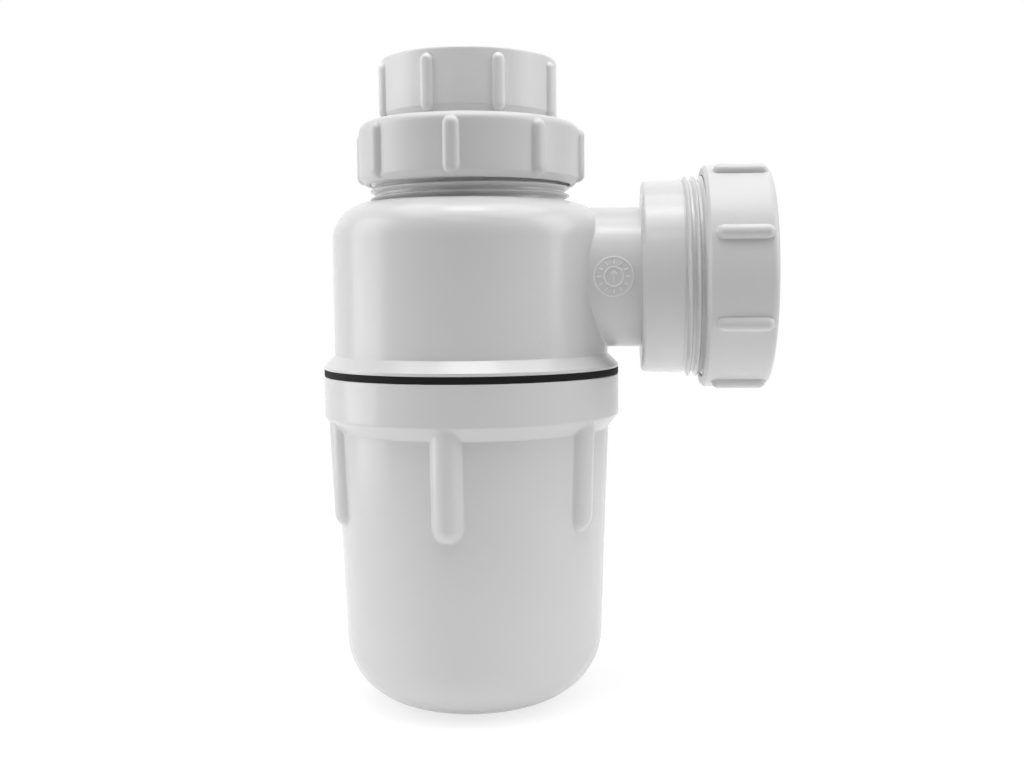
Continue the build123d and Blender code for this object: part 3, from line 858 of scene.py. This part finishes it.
def make_body():
    """Body moulding: turned shell, side arm, both bores and its three threads."""
    cone_top = FLANGE_Z + FLANGE_RIM + FLANGE_R - BODY_R
    shell = outline(
        (0, SKIRT_FOOT), (SKIRT_R, SKIRT_FOOT, 0.5), (SKIRT_R, FLANGE_Z),
        (FLANGE_R, FLANGE_Z, 0.25), (FLANGE_R, FLANGE_Z + FLANGE_RIM, 0.3),
        (BODY_R, cone_top, 0.5), (BODY_R, BODY_TOP, SHOULDER_R, 20), (NECK_ROOT_R, BODY_TOP, 0.4),
        (NECK_ROOT_R, NECK_TOP, MOUTH_EDGE), (0, NECK_TOP))
    body = turned("trap_body_moulding", shell, [], even_columns(256), closed=False)
    combined(body, make_arm_solid(), "UNION")

    # Both cutters reach past the ends that they open
    past_foot, past_mouth = 5, 3
    inner_r, ceiling, step = BODY_R - BODY_WALL, BODY_TOP - BODY_WALL, SOCKET_X + SOCKET_WALL
    cavity = outline(
        (0, SKIRT_FOOT - past_foot), (inner_r, SKIRT_FOOT - past_foot),
        (inner_r, ceiling, SHOULDER_R - BODY_WALL, 12), (GUIDE_R, ceiling), (GUIDE_R, BODY_TOP),
        (NECK_BORE_R, BODY_TOP), (NECK_BORE_R, NECK_TOP + past_mouth), (0, NECK_TOP + past_mouth))
    combined(body, turned("cavity", cavity, [], even_columns(192), closed=False), "DIFFERENCE")
    bore = outline(
        (0, 0), (STUB_BORE_R, 0), (STUB_BORE_R, step), (NECK_BORE_R, step, 0.5),
        (NECK_BORE_R, OUTLET_MOUTH + past_mouth), (0, OUTLET_MOUTH + past_mouth))
    arm_lie = Matrix.Translation((0, 0, OUTLET_Z * MM)) @ Matrix.Rotation(math.pi / 2, 4, "Y")
    bore_solid = placed(turned("bore", bore, [], even_columns(176), closed=False), arm_lie)
    combined(body, bore_solid, "DIFFERENCE")
    dressed(smooth(body, 28), "trap_body", BODY_WHITE, ["trap_body"])

    glands = (("neck_thread", BODY_TOP - NECK_TOP + 0.9, NECK_START, INLET_LIE),
              ("outlet_thread", OUTLET_THREAD_X - OUTLET_MOUTH + 1.8, OUTLET_START, OUTLET_LIE))
    for name, root_end, start, lie in glands:
        ridge = thread(name, NECK_ROOT_R, PIPE_DEPTH + 0.1, PIPE_PITCH,
                       low=from_the_back(root_end, start), high=-1.2, phase=start,
                       material=BODY_WHITE, lie=lie)
        dressed(ridge, "trap_body")
    skirt = thread("skirt_thread", SKIRT_R, CUP_DEPTH, CUP_PITCH, low=SKIRT_FOOT + 1.6,
                   high=CUP_TOP - 1.8, phase=0.0, material=BODY_WHITE)
    dressed(skirt, "trap_body")


def make_date_wheel():
    """Plain dial in low relief on the front of the stub."""
    before_socket = 8.1
    wheel = linked("date_wheel", bpy.data.meshes.new("date_wheel"))
    # Its lines take the whiter material, a painted highlight
    with_tree(wheel, DATE_WHEEL, **{
        "Outer radius": 5.6 * MM, "Inner radius": 2.7 * MM, "Line width": 0.5 * MM,
        "Relief": 0.26 * MM, "Ticks": 12, "Tick length": 1.2 * MM, "Wall radius": STUB_R * MM,
        "Along": (SOCKET_X - before_socket) * MM, "Axis height": OUTLET_Z * MM,
        "Material": RELIEF_PAINTED_HIGHLIGHT})
    face_outwards(wheel.data)
    dressed(smooth(wheel, 50), "trap_body")


def seen_directly(tree):
    """One where a ray comes from the camera or from a reflection or refraction, or else zero."""
    path = add(tree, "ShaderNodeLightPath").outputs
    mirrored = add(tree, "ShaderNodeMath",
                   {0: path["Is Glossy Ray"], 1: path["Is Transmission Ray"]},
                   operation="MAXIMUM").outputs[0]
    return add(tree, "ShaderNodeMath", {0: path["Is Camera Ray"], 1: mirrored},
               operation="MAXIMUM").outputs[0]


def make_stage():
    """Pale floor that keeps the object's shadow and otherwise shows as white."""
    half_side, glow_share, glow_strength = 0.38, 0.64, 1.18
    corners = [(x * half_side, y * half_side, 0) for x, y in ((-1, -1), (1, -1), (1, 1), (-1, 1))]
    mesh = bpy.data.meshes.new("floor")
    mesh.from_pydata(corners, [], [(0, 1, 2, 3)])
    floor = linked("floor", mesh)
    material = bpy.data.materials.new("white_floor")
    material.use_nodes = True
    tree = material.node_tree
    tree.nodes.clear()
    matt = add(tree, "ShaderNodeBsdfDiffuse", {"Color": linear("#FAFAFA")}).outputs[0]
    glow = add(tree, "ShaderNodeEmission",
               {"Color": linear("#FFFFFF"), "Strength": glow_strength}).outputs[0]
    seen = add(tree, "ShaderNodeMath", {0: seen_directly(tree), 1: glow_share},
               operation="MULTIPLY").outputs[0]
    mix = add(tree, "ShaderNodeMixShader", {0: seen, 1: matt, 2: glow}).outputs[0]
    add(tree, "ShaderNodeOutputMaterial", {"Surface": mix})
    mesh.materials.append(material)


def make_world():
    """White surround that lights from above the horizon, and less from the front, where the
    light tent is open."""
    world = bpy.data.worlds.new("light_tent")
    bpy.context.scene.world = world
    world.use_nodes = True
    tree = world.node_tree
    tree.nodes.clear()
    way = add(tree, "ShaderNodeTexCoord").outputs["Generated"]
    part = add(tree, "ShaderNodeSeparateXYZ", {0: way}).outputs
    level = add(tree, "ShaderNodeMapRange",
                {"Value": part[1], "From Min": -0.85, "From Max": 0.25, "To Min": 0.06,
                 "To Max": 0.28}, interpolation_type="SMOOTHSTEP")
    above = add(tree, "ShaderNodeMapRange",
                {"Value": part[2], "From Min": -0.1, "From Max": 0.1}).outputs[0]
    glow = add(tree, "ShaderNodeMath", {0: level.outputs[0], 1: above},
               operation="MULTIPLY").outputs[0]
    white = linear("#FFFFFF")
    tent = add(tree, "ShaderNodeBackground", {"Color": white, "Strength": glow}).outputs[0]
    seen = add(tree, "ShaderNodeBackground", {"Color": white, "Strength": 1.0}).outputs[0]
    mix = add(tree, "ShaderNodeMixShader", {0: seen_directly(tree), 1: tent, 2: seen}).outputs[0]
    add(tree, "ShaderNodeOutputWorld", {"Surface": mix})


def make_lamp(name, place, target, size, power):
    """Soft rectangular lamp that faces a point."""
    lamp = bpy.data.lights.new(name, "AREA")
    lamp.shape = "RECTANGLE"
    lamp.size, lamp.size_y = size
    lamp.energy = power
    piece = bpy.data.objects.new(name, lamp)
    piece.location = place
    piece.rotation_euler = (Vector(target) - Vector(place)).to_track_quat("-Z", "Y").to_euler()
    bpy.context.scene.collection.objects.link(piece)


def make_camera():
    """Camera at the photograph's viewpoint: level with the outlet and looking slightly down."""
    width, height, sensor = 1024.0, 768.0, 36.0
    focal, centre_x, centre_y = 1175.0, 551.6, 381.0
    pitch, roll, walked_round = math.radians(4.4), math.radians(0.4), math.radians(3.0)
    place = (0.02405, -0.3572, 0.1232)
    ahead = Vector((0, math.cos(pitch), -math.sin(pitch)))
    across, up = Vector((1, 0, 0)), Vector((0, math.sin(pitch), math.cos(pitch)))
    right = across * math.cos(roll) - up * math.sin(roll)
    above = across * math.sin(roll) + up * math.cos(roll)
    data = bpy.data.cameras.new("camera")
    data.sensor_width = sensor
    data.lens = focal / width * sensor
    data.shift_x = (width / 2 - centre_x) / width
    data.shift_y = (centre_y - height / 2) / width
    data.clip_start = 0.01
    camera = bpy.data.objects.new("camera", data)
    turn = Matrix((right, above, -ahead)).transposed().to_4x4()
    walk = Matrix.Rotation(walked_round, 4, "Z")
    camera.matrix_world = walk @ Matrix.Translation(place) @ turn
    bpy.context.scene.collection.objects.link(camera)
    bpy.context.scene.camera = camera


make_camera()
make_stage()
make_world()
for name, place, target, size, power in (
        ("top_lamp", (0.0, -0.1, 1.5), (0.0, 0.0, 0.1), (1.9, 1.3), 18.0),
        ("top_core", (0.0, -0.2, 1.45), (0.0, 0.0, 0.1), (0.6, 0.3), 2.6),
        ("left_lamp", (-0.75, -0.05, 0.25), (0.0, 0.0, 0.06), (0.5, 0.8), 2.7),
        ("right_lamp", (0.85, -0.05, 0.5), (0.0, 0.0, 0.06), (0.5, 0.8), 3.0),
        ("front_strip", (-0.06, -0.62, 0.82), (0.0, 0.0, 0.12), (0.5, 0.06), 0.35)):
    make_lamp(name, place, target, size, power)

make_cup()
make_rings()
make_tube()
make_gland_nut("inlet", INLET_LIE, INLET_HOLE_R, INLET_NUT_FOOT - NECK_TOP,
               INLET_NUT_TOP - NECK_TOP, NECK_START, edge_r=2.6, bevel=1.8,
               ribs=dict(first=INLET_RIBS_FROM, half_width=2.4, proud=1.55, foot=0.7, top=16.3))
make_gland_nut("outlet", OUTLET_LIE, OUTLET_HOLE_R, OUTLET_NUT_FOOT, OUTLET_NUT_TOP,
               OUTLET_START, edge_r=2.4, bevel=0.9,
               ribs=dict(first=OUTLET_RIBS_FROM, half_width=2.05, proud=1.9, foot=2.4, top=18.1))
make_coupling_nut()
make_body()
make_date_wheel()

bpy.context.scene.view_settings.view_transform = "Standard"
